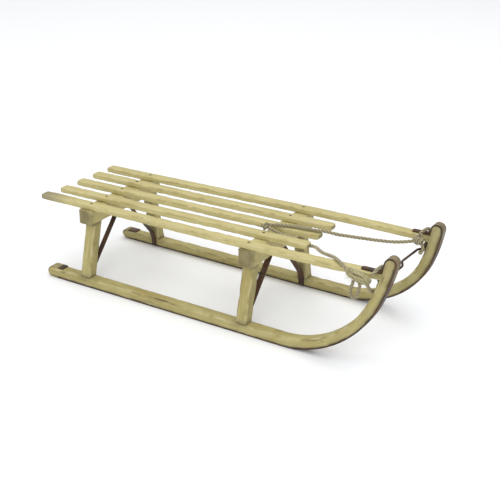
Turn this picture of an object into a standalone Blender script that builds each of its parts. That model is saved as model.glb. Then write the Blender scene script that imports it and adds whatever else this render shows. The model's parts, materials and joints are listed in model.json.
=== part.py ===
# A slatted wooden toboggan with iron-shod runners, iron arches, a cross rod and a pull rope.
# Metres. X runs forward to the horns, Y to the sled's left, Z up. The origin lies on the ground
# under the middle of the sled. Side -1 is the right side frame and side 1 the left one.

from math import cos, hypot, pi, radians, sin

import bmesh
import bpy
from mathutils import Vector

clearance = 0.0003

# Side frames: the soles lie flat, and runners and legs lean inward as they rise.
sole_half = 0.1775
frame_lean = 0.144
leg_lean = 0.226
sides = {"right": -1, "left": 1}
frame_ahead = {-1: -0.0055, 1: 0.006}

# Runners and their steel shoes. The curl is a round bend that straightens towards the horn.
runner_width = 0.0315
runner_depth = 0.0266
horn_depth = 0.0285
shoe_width = 0.024
shoe_thick = 0.003
curl_start = 0.249
curl_radius = 0.26
curl_sweep = radians(70)
horn_radius = 0.56
horn_sweep = radians(9.5)
tip_length = 0.013
rear_end = -0.482
rear_length = 0.014
tab_length = 0.032
back_length = 0.012

# Cross-bars and legs.
bar_at = {"rear": -0.360, "front": 0.129}
bar_middle = {"rear": -0.3645, "front": 0.1305}
bar_depth = {"rear": 0.044, "front": 0.041}
bar_half = {"rear": 0.1590, "front": 0.1590}
bar_low = {"rear": 0.1755, "front": 0.1765}
bar_rounding = {"rear": 0.012, "front": 0.0055}
leg_depth = 0.033
leg_thick = 0.030
tenon_depth = 0.018
tenon_thick = 0.013
foot_tenon = 0.014
head_tenon = 0.020

# Seat slats. The seat rises a little towards the horns.
seat_height = 0.2323
seat_rise = 0.017
slat_width = 0.031
slat_thick = 0.0145
slat_rear = {"1": -0.5245, "2": -0.512, "3": -0.510, "4": -0.509, "5": -0.507}
inner_slat_y = {"2": -0.0677, "3": 0.0, "4": 0.0677}
inner_slat_front = {"2": 0.2570, "3": 0.2525, "4": 0.2540}
outer_slat_y = [(-0.53, 0.1315), (-0.36, 0.1320), (0.129, 0.1385), (0.29, 0.1375), (0.50, 0.1310)]
notch_depth = 0.008

# Iron work.
arch_width = {"rear": 0.0125, "front": 0.015}
arch_thick = 0.004
rod_radius = 0.003
rod_x = 0.462
rod_z = 0.2075
rod_skew = 0.049
rod_dip = 0.0108
rod_dip_half = 0.0168
rod_dip_forward = 0.36
rod_joggle = 0.014
rod_joggle_gap = 0.002
rod_flattening = 0.45
strap_width = 0.014
strap_thick = 0.004
strap_length = 0.052
strap_leaf = 0.012
tongue_low = 0.197
tongue_high = 0.222
tongue_screw_z = 0.2165
tongue_inset = 0.0025
tongue_width = 0.010
tongue_thick = 0.004
tongue_round = 0.0042

# Screws and nails: length, shank radius and head radius.
slat_screw = (0.030, 0.0018, 0.0036)
arch_screw = (0.024, 0.0018, 0.0038)
foot_screw = (0.013, 0.0014, 0.0030)
small_screw = (0.014, 0.0014, 0.0030)
bar_nail = (0.036, 0.0012, 0.0020)
screw_sides = 8
head_rim = 0.0008
head_sunk = 0.0003
foot_screw_z = 0.0165
strap_screw_in = 0.016
tab_screw_in = 0.009
sole_screw_x = {"rear": -0.20, "front": 0.06}

# The pull rope.
rope_radius = 0.004
rope_step = 0.015

timber = (0.50, 0.44, 0.20)
pale_timber = (0.64, 0.57, 0.32)
iron = (0.055, 0.030, 0.022)
worn_iron = (0.11, 0.075, 0.050)
screw_iron = (0.10, 0.08, 0.06)
hemp = (0.45, 0.40, 0.27)

for old in list(bpy.data.objects):
    bpy.data.objects.remove(old, do_unlink=True)


def make_material(name, colour, roughness, metallic=0.0):
    material = bpy.data.materials.new(name)
    material.use_nodes = True
    shader = material.node_tree.nodes["Principled BSDF"]
    shader.inputs["Base Color"].default_value = (*colour, 1)
    shader.inputs["Roughness"].default_value = roughness
    shader.inputs["Metallic"].default_value = metallic
    return material


def place(name, bm, origin, colour, roughness, metallic=0.0, sharp=radians(35)):
    """Turn a body modelled in world places into an object whose origin is at a point of it."""
    bmesh.ops.recalc_face_normals(bm, faces=bm.faces)
    bmesh.ops.translate(bm, verts=bm.verts, vec=-Vector(origin))
    mesh = bpy.data.meshes.new(name)
    bm.to_mesh(mesh)
    bm.free()
    mesh.shade_smooth()
    mesh.set_sharp_from_angle(angle=sharp)
    piece = bpy.data.objects.new(name, mesh)
    piece.location = origin
    bpy.context.collection.objects.link(piece)
    mesh.materials.append(make_material(name + "_finish", colour, roughness, metallic))
    return piece


def make_cutter(name, bodies):
    """One hidden object that holds several cutting bodies."""
    bm = bmesh.new()
    for body in bodies:
        mesh = bpy.data.meshes.new(name)
        bmesh.ops.recalc_face_normals(body, faces=body.faces)
        body.to_mesh(mesh)
        body.free()
        bm.from_mesh(mesh)
        bpy.data.meshes.remove(mesh)
    mesh = bpy.data.meshes.new(name)
    bm.to_mesh(mesh)
    bm.free()
    cutter = bpy.data.objects.new(name, mesh)
    cutter.hide_render = True
    cutter.display_type = "WIRE"
    bpy.context.collection.objects.link(cutter)
    return cutter


def combine(piece, other, operation="DIFFERENCE"):
    cut = piece.modifiers.new(other.name, "BOOLEAN")
    cut.operation = operation
    cut.solver = "EXACT"
    cut.object = other


def loft(rings):
    """A closed body through rings that all have the same number of points."""
    bm = bmesh.new()
    cap = bm.faces.new([bm.verts.new(point) for point in rings[0]])
    for number, ring in enumerate(rings[1:]):
        made = bmesh.ops.extrude_face_region(bm, geom=[cap])["geom"]
        if number > 0:
            bmesh.ops.delete(bm, geom=[cap], context="FACES_ONLY")
        cap = next(item for item in made if isinstance(item, bmesh.types.BMFace))
        for vert, point in zip(cap.verts, ring):
            vert.co = point
    return bm


def extrude_outline(outline, low, high, edge=0.0):
    """A flat outline of (x, z) points drawn out along Y, with its two rims bevelled."""
    bm = bmesh.new()
    cap = bm.faces.new([bm.verts.new((x, low, z)) for x, z in outline])
    made = bmesh.ops.extrude_face_region(bm, geom=[cap])["geom"]
    moved = [item for item in made if isinstance(item, bmesh.types.BMVert)]
    bmesh.ops.translate(bm, verts=moved, vec=(0, high - low, 0))
    if edge:
        caps = [face for face in bm.faces if len(face.verts) == len(outline)]
        rims = list({rim for face in caps for rim in face.edges})
        bmesh.ops.bevel(
            bm, geom=rims, offset=edge, segments=1, profile=0.5, affect="EDGES", material=-1
        )
    return bm


def lean_body(bm, side, lean, base):
    """Slide every point inward by its height above the base."""
    for vert in bm.verts:
        vert.co.y -= side * lean * (vert.co.z - base)


def bevelled_section(half_a, half_b, edge):
    """The eight corners of a rectangle with bevelled corners."""
    inner_a = half_a - edge
    inner_b = half_b - edge
    return [
        (half_a, -inner_b), (half_a, inner_b), (inner_a, half_b), (-inner_a, half_b),
        (-half_a, inner_b), (-half_a, -inner_b), (-inner_a, -half_b), (inner_a, -half_b),
    ]


def smooth_value(stations, x):
    """The value at x on a smooth curve through (x, value) stations."""
    for number in range(len(stations) - 1):
        if x <= stations[number + 1][0] or number == len(stations) - 2:
            break
    before = stations[max(number - 1, 0)]
    start, end = stations[number], stations[number + 1]
    after = stations[min(number + 2, len(stations) - 1)]
    span = end[0] - start[0]
    t = (x - start[0]) / span
    slope_in = (end[1] - before[1]) / (end[0] - before[0]) * span
    slope_out = (after[1] - start[1]) / (after[0] - start[0]) * span
    hermite = (2 * t**3 - 3 * t**2 + 1) * start[1] + (t**3 - 2 * t**2 + t) * slope_in
    return hermite + (3 * t**2 - 2 * t**3) * end[1] + (t**3 - t**2) * slope_out


def seat_top(x):
    return seat_height + seat_rise * x


def seat_bottom(x):
    return seat_top(x) - slat_thick


# The runner's side view.


def sole_point(s):
    """Place and direction of the sole line, s metres past the start of the curl."""
    bend = curl_radius * curl_sweep
    if s <= 0:
        return curl_start + s, 0.0, 0.0
    if s <= bend:
        angle = s / curl_radius
        return curl_start + curl_radius * sin(angle), curl_radius * (1 - cos(angle)), angle
    angle = curl_sweep + (s - bend) / horn_radius
    x = curl_start + curl_radius * sin(curl_sweep) + horn_radius * (sin(angle) - sin(curl_sweep))
    z = curl_radius * (1 - cos(curl_sweep)) + horn_radius * (cos(curl_sweep) - cos(angle))
    return x, z, angle


horn_start = curl_radius * curl_sweep
horn_end = horn_start + horn_radius * horn_sweep
wood_low = shoe_thick + clearance


def depth_at(s):
    share = min(max(s / horn_start, 0), 1)
    return runner_depth + (horn_depth - runner_depth) * share


def offset_point(s, offset):
    x, z, angle = sole_point(s)
    return x - sin(angle) * offset, z + cos(angle) * offset


def round_end(centre, across, along, direction, steps):
    """Points and outward normals round half an ellipse, from one flank to the other."""
    stations = []
    for step in range(steps + 1):
        turn = pi * step / steps
        a, b = across * cos(turn), along * sin(turn)
        na, nb = cos(turn) / across, sin(turn) / along
        size = hypot(na, nb)
        c, s = cos(direction), sin(direction)
        place_at = (centre[0] + b * c + a * s, centre[1] + b * s - a * c)
        normal = ((nb * c + na * s) / size, (nb * s - na * c) / size)
        stations.append((place_at, normal))
    return stations


def shod_stations():
    """The runner's surface that the shoe covers: tab, rear end, sole, horn and tip."""
    rear_half = (runner_depth - wood_low) / 2
    rear_centre = (rear_end + rear_length, wood_low + rear_half)
    behind = round_end(rear_centre, rear_half, rear_length, 0.0, 8)
    stations = [((rear_end + rear_length + tab_length, runner_depth), (0.0, 1.0))]
    for (x, z), (nx, nz) in reversed(behind):
        stations.append(((2 * rear_centre[0] - x, z), (-nx, nz)))
    steps = 22
    for step in range(steps + 1):
        s = horn_end * step / steps
        angle = sole_point(s)[2]
        stations.append((offset_point(s, wood_low), (sin(angle), -cos(angle))))
    tip_half = (horn_depth - wood_low) / 2
    tip_centre = offset_point(horn_end, wood_low + tip_half)
    tip_angle = sole_point(horn_end)[2]
    stations.extend(round_end(tip_centre, tip_half, tip_length, tip_angle, 10)[1:])
    s = horn_end - back_length
    angle = sole_point(s)[2]
    stations.append((offset_point(s, depth_at(s)), (-sin(angle), cos(angle))))
    return stations


def runner_outline(ahead):
    """The runner's side view as (x, z) points."""
    outline = [(x + ahead, z) for (x, z), normal in shod_stations()]
    steps = 20
    for step in range(1, steps + 1):
        s = (horn_end - back_length) * (1 - step / steps)
        x, z = offset_point(s, depth_at(s))
        outline.append((x + ahead, z))
    return outline


def shoe_outline(ahead):
    stations = shod_stations()
    inner = [(x + nx * clearance, z + nz * clearance) for (x, z), (nx, nz) in stations]
    outer = [(x + nx * wood_low, z + nz * wood_low) for (x, z), (nx, nz) in stations]
    return [(x + ahead, z) for x, z in inner + outer[::-1]]


def horn_back_s(z):
    """How far along the sole line the horn's rear face comes to a height."""
    low, high = horn_start / 2, horn_end
    for round_number in range(40):
        s = (low + high) / 2
        if offset_point(s, horn_depth)[1] < z:
            low = s
        else:
            high = s
    return s


def horn_back_x(z, ahead):
    """Where the horn's rear face is at a height."""
    return offset_point(horn_back_s(z), horn_depth)[0] + ahead


def inner_face(z):
    """How far a runner's inner face is from the middle plane at a height."""
    return sole_half - runner_width - frame_lean * z


def side_band(side, inset, width):
    """The two Y limits of a band of the side frame at ground level, measured from its outside."""
    outer = side * (sole_half - inset)
    inner = side * (sole_half - inset - width)
    return min(outer, inner), max(outer, inner)


def make_runner(word, side):
    low, high = side_band(side, 0.0, runner_width)
    body = extrude_outline(runner_outline(frame_ahead[side]), low, high, edge=0.0028)
    lean_body(body, side, frame_lean, 0.0)
    return place("runner_" + word, body, (0, side * sole_half, 0), timber, 0.5)


def make_shoe(word, side):
    low, high = side_band(side, (runner_width - shoe_width) / 2, shoe_width)
    body = extrude_outline(shoe_outline(frame_ahead[side]), low, high)
    lean_body(body, side, frame_lean, 0.0)
    return place("shoe_" + word, body, (0, side * sole_half, 0), worn_iron, 0.55, 0.8)


# Legs and cross-bars.


def leg_centre(side, z):
    outer = sole_half - frame_lean * runner_depth - leg_lean * (z - runner_depth)
    return side * (outer - 0.0005 - leg_thick / 2)


def leg_rings(x, side, levels):
    """Rings of a leaning post from (height, half depth, half thickness, edge) levels."""
    rings = []
    for z, half_x, half_y, edge in levels:
        middle = leg_centre(side, z)
        section = bevelled_section(half_x, half_y, edge)
        rings.append([(x + a, middle + b, z) for a, b in section])
    return rings


def make_leg(which, word, side):
    x = bar_at[which]
    foot = runner_depth + clearance
    head = bar_low[which] - clearance
    tenon = (tenon_depth / 2, tenon_thick / 2, 0.001)
    post = (leg_depth / 2, leg_thick / 2, 0.003)
    levels = [
        (foot - foot_tenon, *tenon), (foot, *tenon), (foot, *post),
        (head, *post), (head, *tenon), (head + head_tenon, *tenon),
    ]
    body = loft(leg_rings(x, side, levels))
    origin = (x, leg_centre(side, foot), foot)
    return place("leg_" + which + "_" + word, body, origin, timber, 0.5)


def mortise(which, side, low, high):
    """A cutting body a little larger than a leg's tenon."""
    size = (tenon_depth / 2 + clearance, tenon_thick / 2 + clearance, 0.001)
    return loft(leg_rings(bar_at[which], side, [(low, *size), (high, *size)]))


def make_bar(which):
    """A cross-bar: rounded upright corners at its ends, its top following the seat's rise."""
    x, half, round_size = bar_middle[which], bar_half[which], bar_rounding[which]
    turns = [0, pi / 6, pi / 3, pi / 2]
    ends = [(half - round_size * (1 - sin(turn)), round_size * (1 - cos(turn))) for turn in turns]
    stations = [(-y, inset) for y, inset in reversed(ends)] + ends
    rings = []
    for y, inset in stations:
        half_x = bar_depth[which] / 2 - inset
        half_z = (seat_bottom(x) - clearance - bar_low[which]) / 2
        middle = bar_low[which] + half_z
        ring = []
        for a, b in bevelled_section(half_x, half_z, 0.002):
            rise = seat_rise * a if b > 0 else 0.0
            ring.append((x + a, y, middle + b + rise))
        rings.append(ring)
    return place("crossbar_" + which, loft(rings), (x, 0, bar_low[which]), timber, 0.5)


# Slats.


def outer_slat(side):
    return "1" if side < 0 else "5"


def slat_y(number, x):
    if number in inner_slat_y:
        return inner_slat_y[number]
    side = -1 if number == "1" else 1
    return side * smooth_value(outer_slat_y, x)


def slat_front(number):
    if number in inner_slat_front:
        return inner_slat_front[number]
    side = -1 if number == "1" else 1
    ahead = frame_ahead[side]
    return horn_back_x(seat_bottom(0.48) + slat_thick / 2, ahead) + notch_depth


def slat_rings(number, extra=0.0):
    """Rings along a slat, narrowed at its two ends; extra makes all of them larger."""
    rear, front = slat_rear[number], slat_front(number)
    outer = number in "15"
    nose = 0.006
    inset = 0.0045 if outer else 0.006
    stations = [(rear - extra, 0.005), (rear + nose, 0.0)]
    middle_count = 14 if outer else 1
    for step in range(1, middle_count):
        stations.append((rear + nose + (front - rear - 2 * nose) * step / middle_count, 0.0))
    stations.extend([(front - nose, 0.0), (front + extra, inset)])
    rings = []
    for x, narrow in stations:
        half_y = slat_width / 2 - narrow + extra
        half_z = slat_thick / 2 + extra - narrow * 0.35
        y, z = slat_y(number, x), seat_top(x) - slat_thick / 2
        rings.append([(x, y + a, z + b) for a, b in bevelled_section(half_y, half_z, 0.0022)])
    return rings


def make_slat(number):
    x = (slat_rear[number] + slat_front(number)) / 2
    origin = (x, slat_y(number, x), seat_bottom(x))
    return place("slat_" + number, loft(slat_rings(number)), origin, pale_timber, 0.5)


def notch_body(number):
    """The seat of an outer slat's end, cut right across the horn."""
    side = -1 if number == "1" else 1
    front = slat_front(number) + clearance
    rear = front - 0.03
    middle = side * (sole_half - 0.03 - runner_width / 2)
    rings = []
    for x in (rear, front):
        z = seat_top(x) - slat_thick / 2
        half_z = slat_thick / 2 + clearance
        section = [(0.03, -half_z), (0.03, half_z), (-0.03, half_z), (-0.03, -half_z)]
        rings.append([(x, middle + a, z + b) for a, b in section])
    return loft(rings)


# Screws and nails.


def screw_body(head, direction, size, extra=0.0):
    """A countersunk screw from its head's middle, drawn along a direction."""
    length, shank, head_radius = size
    along = Vector(direction).normalized()
    across = along.orthogonal().normalized()
    third = along.cross(across)
    levels = [
        (-extra * 2, head_radius + extra), (head_rim, head_radius + extra),
        (head_radius * 0.6, shank + extra), (length * 0.8, shank + extra),
        (length + extra, shank * 0.35 + extra),
    ]
    rings = []
    for depth, radius in levels:
        centre = Vector(head) + along * depth
        ring = []
        for number in range(screw_sides):
            turn = 2 * pi * number / screw_sides
            ring.append(centre + (across * cos(turn) + third * sin(turn)) * radius)
        rings.append(ring)
    return loft(rings)


def slat_screws():
    """Name, head, direction, size and the pieces entered, for the ten screws of the seat."""
    screws = []
    for which, x in bar_at.items():
        for number in "12345":
            head = (x, slat_y(number, x), seat_top(x) - head_sunk)
            enters = ["slat_" + number, "crossbar_" + which]
            name = "screw_slat_" + number + "_" + which
            screws.append((name, head, (0, 0, -1), slat_screw, enters))
    return screws


def arch_screws():
    """The screws of one arch: one in its middle and one in each foot."""
    screws = []
    for which, x in bar_at.items():
        head = (x, 0, arch_middle(which) - arch_thick / 2 + head_sunk)
        enters = ["arch_" + which, "crossbar_" + which]
        screws.append(("screw_arch_" + which + "_middle", head, (0, 0, 1), arch_screw, enters))
        for word, side in sides.items():
            inner = side * (inner_face(foot_screw_z) - clearance - arch_thick + head_sunk)
            enters = ["arch_" + which, "runner_" + word]
            name = "screw_arch_" + which + "_" + word
            screws.append((name, (x, inner, foot_screw_z), (0, side, 0), foot_screw, enters))
    return screws


def horn_screws(word, side):
    """The screws of the strap and of the cross rod's tongue on one horn."""
    x = strap_rear(side) + strap_screw_in
    head = (x, strap_y(side), seat_top(x) + clearance + strap_thick - head_sunk)
    enters = ["strap_" + word, "slat_" + outer_slat(side)]
    screws = [("screw_strap_" + word, head, (0, 0, -1), small_screw, enters)]
    s = horn_back_s(tongue_screw_z)
    x, z = offset_point(s, horn_depth + clearance + tongue_thick - head_sunk)
    head = (x + frame_ahead[side], tongue_y(side, z), z)
    angle = sole_point(s)[2]
    enters = ["cross_rod", "runner_" + word]
    direction = (sin(angle), 0, -cos(angle))
    screws.append(("screw_rod_" + word, head, direction, small_screw, enters))
    return screws


def shoe_screws(word, side):
    """The screws of one shoe: at the rear tab, at the horn's back and two in the sole."""
    enters = ["shoe_" + word, "runner_" + word]
    ahead = frame_ahead[side]
    middle = side * (sole_half - runner_width / 2)
    x = rear_end + rear_length + tab_length - tab_screw_in + ahead
    z = runner_depth + wood_low - head_sunk
    head = (x, middle - side * frame_lean * z, z)
    screws = [("screw_tab_" + word, head, (0, 0, -1), small_screw, enters)]
    s = horn_end - back_length + back_length / 2
    x, z = offset_point(s, horn_depth + wood_low - head_sunk)
    angle = sole_point(s)[2]
    head = (x + ahead, middle - side * frame_lean * z, z)
    direction = (sin(angle), 0, -cos(angle))
    screws.append(("screw_horn_" + word, head, direction, small_screw, enters))
    for place_word, x in sole_screw_x.items():
        name = "screw_sole_" + place_word + "_" + word
        screws.append((name, (x, middle, head_sunk), (0, 0, 1), small_screw, enters))
    return screws


def bar_nail_of(word, side):
    """The nail through the front cross-bar's end and the leg's tenon."""
    z = bar_low["front"] + head_tenon * 0.6
    head = (bar_at["front"] - 0.004, side * (bar_half["front"] - head_sunk), z)
    enters = ["crossbar_front", "leg_front_" + word]
    return ("nail_bar_" + word, head, (0, -side, 0), bar_nail, enters)


def make_screws(pieces):
    screws = slat_screws() + arch_screws()
    for word, side in sides.items():
        screws.extend(horn_screws(word, side))
        screws.extend(shoe_screws(word, side))
        screws.append(bar_nail_of(word, side))
    for name, head, direction, size, enters in screws:
        place(name, screw_body(head, direction, size), head, screw_iron, 0.5, 0.8)
        hole = make_cutter(name + "_hole", [screw_body(head, direction, size, clearance)])
        for entered in enters:
            combine(pieces[entered], hole)


# Iron work.


def rounded_path(corners, radii, steps=6):
    """A path of (a, b) points whose inner corners are arcs."""
    path = [Vector(corners[0])]
    for number in range(1, len(corners) - 1):
        corner = Vector(corners[number])
        back = (Vector(corners[number - 1]) - corner).normalized()
        on = (Vector(corners[number + 1]) - corner).normalized()
        half = back.angle(on) / 2
        radius = radii[number - 1]
        centre = corner + (back + on).normalized() * radius / sin(half)
        start = corner + back * radius * cos(half) / sin(half) - centre
        turn = pi - 2 * half
        if back.x * on.y - back.y * on.x > 0:
            turn = -turn
        for step in range(steps + 1):
            c, s = cos(turn * step / steps), sin(turn * step / steps)
            path.append(centre + Vector((start.x * c - start.y * s, start.x * s + start.y * c)))
    path.append(Vector(corners[-1]))
    return path


def band_outline(path, thick):
    """The outline of a band of even thickness along a path of (a, b) points."""
    one, other = [], []
    for number, point in enumerate(path):
        before = path[max(number - 1, 0)]
        after = path[min(number + 1, len(path) - 1)]
        along = (after - before).normalized()
        across = Vector((-along.y, along.x)) * thick / 2
        one.append(tuple(point + across))
        other.append(tuple(point - across))
    return one + other[::-1]


def arch_middle(which):
    return bar_low[which] - clearance - arch_thick / 2


def make_arch(which):
    """Foot on one runner's inner face, diagonal, flat middle, diagonal and the other foot."""
    foot_z, knee_z = 0.006, 0.043
    top_z = arch_middle(which)
    reach = sole_half - runner_width - clearance - arch_thick / 2
    foot = (reach - frame_lean * foot_z, foot_z)
    knee = (reach - frame_lean * knee_z, knee_z)
    shoulder = (0.0235, top_z)
    corners = [(-foot[0], foot[1]), (-knee[0], knee[1]), (-shoulder[0], shoulder[1])]
    corners += [shoulder, knee, foot]
    path = rounded_path(corners, [0.045, 0.010, 0.010, 0.045])
    outline = band_outline(path, arch_thick)
    x, half = bar_at[which], arch_width[which] / 2
    rings = [[(x + a, y, z) for y, z in outline] for a in (-half, half)]
    return place("arch_" + which, loft(rings), (x, 0, top_z), iron, 0.6, 0.8)


def strap_y(side):
    return side * 0.1340


def strap_rear(side):
    return horn_back_x(seat_top(0.47), frame_ahead[side]) - strap_length


def make_strap(word, side):
    """A flat strap on an outer slat's front end, its front leaf turned up against the horn."""
    ahead = frame_ahead[side]
    rear = strap_rear(side)
    low = seat_top(rear) + clearance
    corner_x = horn_back_x(seat_top(0.47) + strap_thick, ahead) - 0.0012
    low_front = seat_top(corner_x) + clearance
    top_z = low_front + strap_leaf
    top_x = horn_back_x(top_z, ahead) - 0.0012
    outline = [
        (rear, low), (corner_x, low_front), (top_x, top_z), (top_x - strap_thick, top_z),
        (corner_x - strap_thick, low_front + strap_thick), (rear, low + strap_thick),
    ]
    middle = strap_y(side)
    body = extrude_outline(outline, middle - strap_width / 2, middle + strap_width / 2)
    upright = [
        edge for edge in body.edges
        if max(v.co.x for v in edge.verts) < rear + 1e-5
        and abs(edge.verts[0].co.y - edge.verts[1].co.y) < 1e-5
    ]
    bmesh.ops.bevel(
        body, geom=upright, offset=0.0055, segments=3, profile=0.5, affect="EDGES", material=-1
    )
    return place("strap_" + word, body, (rear, middle, low), iron, 0.6, 0.8)


def round_rings(path, radius, count):
    """Rings of a round bar along a path that lies near the YZ plane."""
    rings = []
    for number, point in enumerate(path):
        before = path[max(number - 1, 0)]
        after = path[min(number + 1, len(path) - 1)]
        along = (after - before).normalized()
        across = along.cross(Vector((1, 0, 0))).normalized()
        third = along.cross(across)
        ring = []
        for step in range(count):
            turn = 2 * pi * (step + 0.5) / count
            ring.append(point + (across * cos(turn) + third * sin(turn)) * radius)
        rings.append(ring)
    return rings


def tongue_y(side, z):
    """The middle of a tongue's width at a height."""
    return side * (inner_face(z) + tongue_inset + tongue_width / 2)


def tongue_body(side):
    """The flattened end of the cross rod, lying on the horn's rear edge."""
    near = horn_depth + clearance
    far = near + tongue_thick
    low_s, high_s = horn_back_s(tongue_low), horn_back_s(tongue_high)
    corners = [(low_s, near), (high_s, near), (high_s, far), (low_s, far)]
    points = [offset_point(s, offset) for s, offset in corners]
    outline = [(x + frame_ahead[side], z) for x, z in points]
    inner = side * (sole_half - runner_width + tongue_inset)
    outer = inner + side * tongue_width
    body = extrude_outline(outline, min(inner, outer), max(inner, outer))
    ends = [edge for edge in body.edges if abs(edge.calc_length() - tongue_thick) < 1e-5]
    bmesh.ops.bevel(
        body, geom=ends, offset=tongue_round, segments=3, profile=0.5, affect="EDGES", material=-1
    )
    lean_body(body, side, frame_lean, 0.0)
    return body


def joggle_rings(side):
    """Rings of the rod's end as it bends forward into its tongue and grows flat."""
    angle = sole_point(horn_back_s(rod_z))[2]
    back = Vector((-sin(angle), 0, cos(angle)))
    start_y = side * (inner_face(rod_z) - rod_joggle)
    end_y = tongue_y(side, rod_z)
    reach = (clearance + tongue_thick / 2) / sin(angle)
    end_x = horn_back_x(rod_z, frame_ahead[side]) - reach
    steps = 7
    path = []
    for step in range(steps + 1):
        t = step / steps
        y = start_y + (end_y - start_y) * t
        straight = rod_x + rod_skew * y
        ease = t * t * (3 - 2 * t)
        path.append(Vector((straight + (end_x - straight) * ease, y, rod_z)))
    if side < 0:
        path.reverse()
    rings = round_rings(path, rod_radius, 10)
    for number, ring in enumerate(rings):
        along = number / steps if side > 0 else 1 - number / steps
        for place_in, point in enumerate(ring):
            out = (point - path[number]).dot(back)
            ring[place_in] = point - back * out * rod_flattening * along
    return rings


def make_rod():
    """The iron bar between the horns, with a dip in its middle and a tongue at each end."""
    dip_z = rod_z - rod_dip
    end_y = inner_face(rod_z) - rod_joggle - rod_joggle_gap
    corners = [
        (-end_y, rod_z), (-rod_dip_half, rod_z), (-rod_dip_half, dip_z),
        (rod_dip_half, dip_z), (rod_dip_half, rod_z), (end_y, rod_z),
    ]
    flat = rounded_path(corners, [0.005, 0.005, 0.005, 0.005], steps=4)
    path = [
        Vector((rod_x + rod_skew * y + (rod_z - z) * rod_dip_forward, y, z)) for y, z in flat
    ]
    rings = joggle_rings(-1) + round_rings(path, rod_radius, 10) + joggle_rings(1)
    rod = place("cross_rod", loft(rings), (rod_x, 0, rod_z), iron, 0.6, 0.8)
    for word, side in sides.items():
        combine(rod, make_cutter("tongue_" + word, [tongue_body(side)]), "UNION")
    return rod


# The pull rope: runs and loops as round tubes, knots as lumps.

centre_knot = (0.1200, -0.0440, 0.2412)
left_knot = (0.4668, 0.1046, 0.2325)
right_knot = (0.4320, -0.1612, 0.2320)

left_run = [
    (0.1270, -0.0358, 0.2432), (0.1335, -0.0255, 0.2408), (0.1448, -0.0148, 0.2394),
    (0.1687, -0.0064, 0.2396), (0.1947, -0.0021, 0.2400), (0.2214, 0.0005, 0.2405),
    (0.2450, 0.0025, 0.2413), (0.2590, 0.0065, 0.2418), (0.2700, 0.0115, 0.2396),
    (0.2900, 0.0205, 0.2352),
    (0.3162, 0.0322, 0.2324), (0.3499, 0.0473, 0.2290), (0.3836, 0.0623, 0.2262),
    (0.4120, 0.0755, 0.2250), (0.4350, 0.0870, 0.2264), (0.4570, 0.0980, 0.2297),
]
right_run = [
    (0.1306, -0.0465, 0.2399), (0.1410, -0.0475, 0.2384), (0.1540, -0.0475, 0.2352),
    (0.1680, -0.0470, 0.2310), (0.1840, -0.0468, 0.2262), (0.2040, -0.0466, 0.2216),
    (0.2250, -0.0464, 0.2196), (0.2450, -0.0464, 0.2198), (0.2600, -0.0476, 0.2208),
    (0.2710, -0.0560, 0.2232), (0.2840, -0.0700, 0.2262), (0.3060, -0.0900, 0.2315),
    (0.3300, -0.1065, 0.2375),
    (0.3500, -0.1200, 0.2425), (0.3660, -0.1320, 0.2438), (0.3800, -0.1440, 0.2445),
    (0.3920, -0.1535, 0.2425), (0.4010, -0.1590, 0.2372),
]
left_loop = [
    (0.4684, 0.1060, 0.2463), (0.4700, 0.1130, 0.2514), (0.4735, 0.1290, 0.2530),
    (0.4752, 0.1420, 0.2516), (0.4762, 0.1520, 0.2446), (0.4758, 0.1544, 0.2320),
    (0.4740, 0.1516, 0.2190), (0.4705, 0.1420, 0.2075), (0.4680, 0.1280, 0.1985),
    (0.4697, 0.1150, 0.1950), (0.4755, 0.1066, 0.2000), (0.4800, 0.1052, 0.2090),
    (0.4788, 0.1050, 0.2160), (0.4750, 0.1049, 0.2231),
]
right_loop = [
    (0.4640, -0.1590, 0.2400), (0.4672, -0.1530, 0.2464), (0.4700, -0.1440, 0.2507),
    (0.4715, -0.1320, 0.2522), (0.4722, -0.1190, 0.2495), (0.4718, -0.1090, 0.2410),
    (0.4715, -0.1070, 0.2300), (0.4720, -0.1062, 0.2150), (0.4720, -0.1060, 0.2000),
    (0.4680, -0.1080, 0.1890), (0.4600, -0.1140, 0.1845), (0.4560, -0.1250, 0.1850),
    (0.4560, -0.1370, 0.1905), (0.4560, -0.1500, 0.2010), (0.4545, -0.1570, 0.2110),
    (0.4525, -0.1595, 0.2180),
]
hanging_bight = [
    (0.4215, -0.1630, 0.2170), (0.4190, -0.1640, 0.2076), (0.4165, -0.1640, 0.1965),
    (0.4150, -0.1640, 0.1863), (0.4175, -0.1640, 0.1795), (0.4245, -0.1640, 0.1770),
    (0.4315, -0.1640, 0.1800), (0.4350, -0.1640, 0.1889), (0.4368, -0.1640, 0.1991),
    (0.4375, -0.1635, 0.2084), (0.4378, -0.1628, 0.2165),
]


def smooth_route(route, step):
    """Evenly spaced points on a smooth curve through a route's points."""
    points = [Vector(point) for point in route]
    fine = []
    for number in range(len(points) - 1):
        before = points[max(number - 1, 0)]
        start, end = points[number], points[number + 1]
        after = points[min(number + 2, len(points) - 1)]
        for part in range(20):
            t = part / 20
            a = (end - before) * 0.5
            b = (after - start) * 0.5
            spot = start * (2 * t**3 - 3 * t**2 + 1) + a * (t**3 - 2 * t**2 + t)
            fine.append(spot + end * (3 * t**2 - 2 * t**3) + b * (t**3 - t**2))
    fine.append(points[-1])
    walked = [0.0]
    for number in range(1, len(fine)):
        walked.append(walked[-1] + (fine[number] - fine[number - 1]).length)
    count = max(round(walked[-1] / step), 2)
    even = []
    place_at = 0
    for number in range(count + 1):
        wanted = walked[-1] * number / count
        while place_at < len(fine) - 2 and walked[place_at + 1] < wanted:
            place_at += 1
        share = (wanted - walked[place_at]) / (walked[place_at + 1] - walked[place_at])
        even.append(fine[place_at].lerp(fine[place_at + 1], share))
    return even


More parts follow.
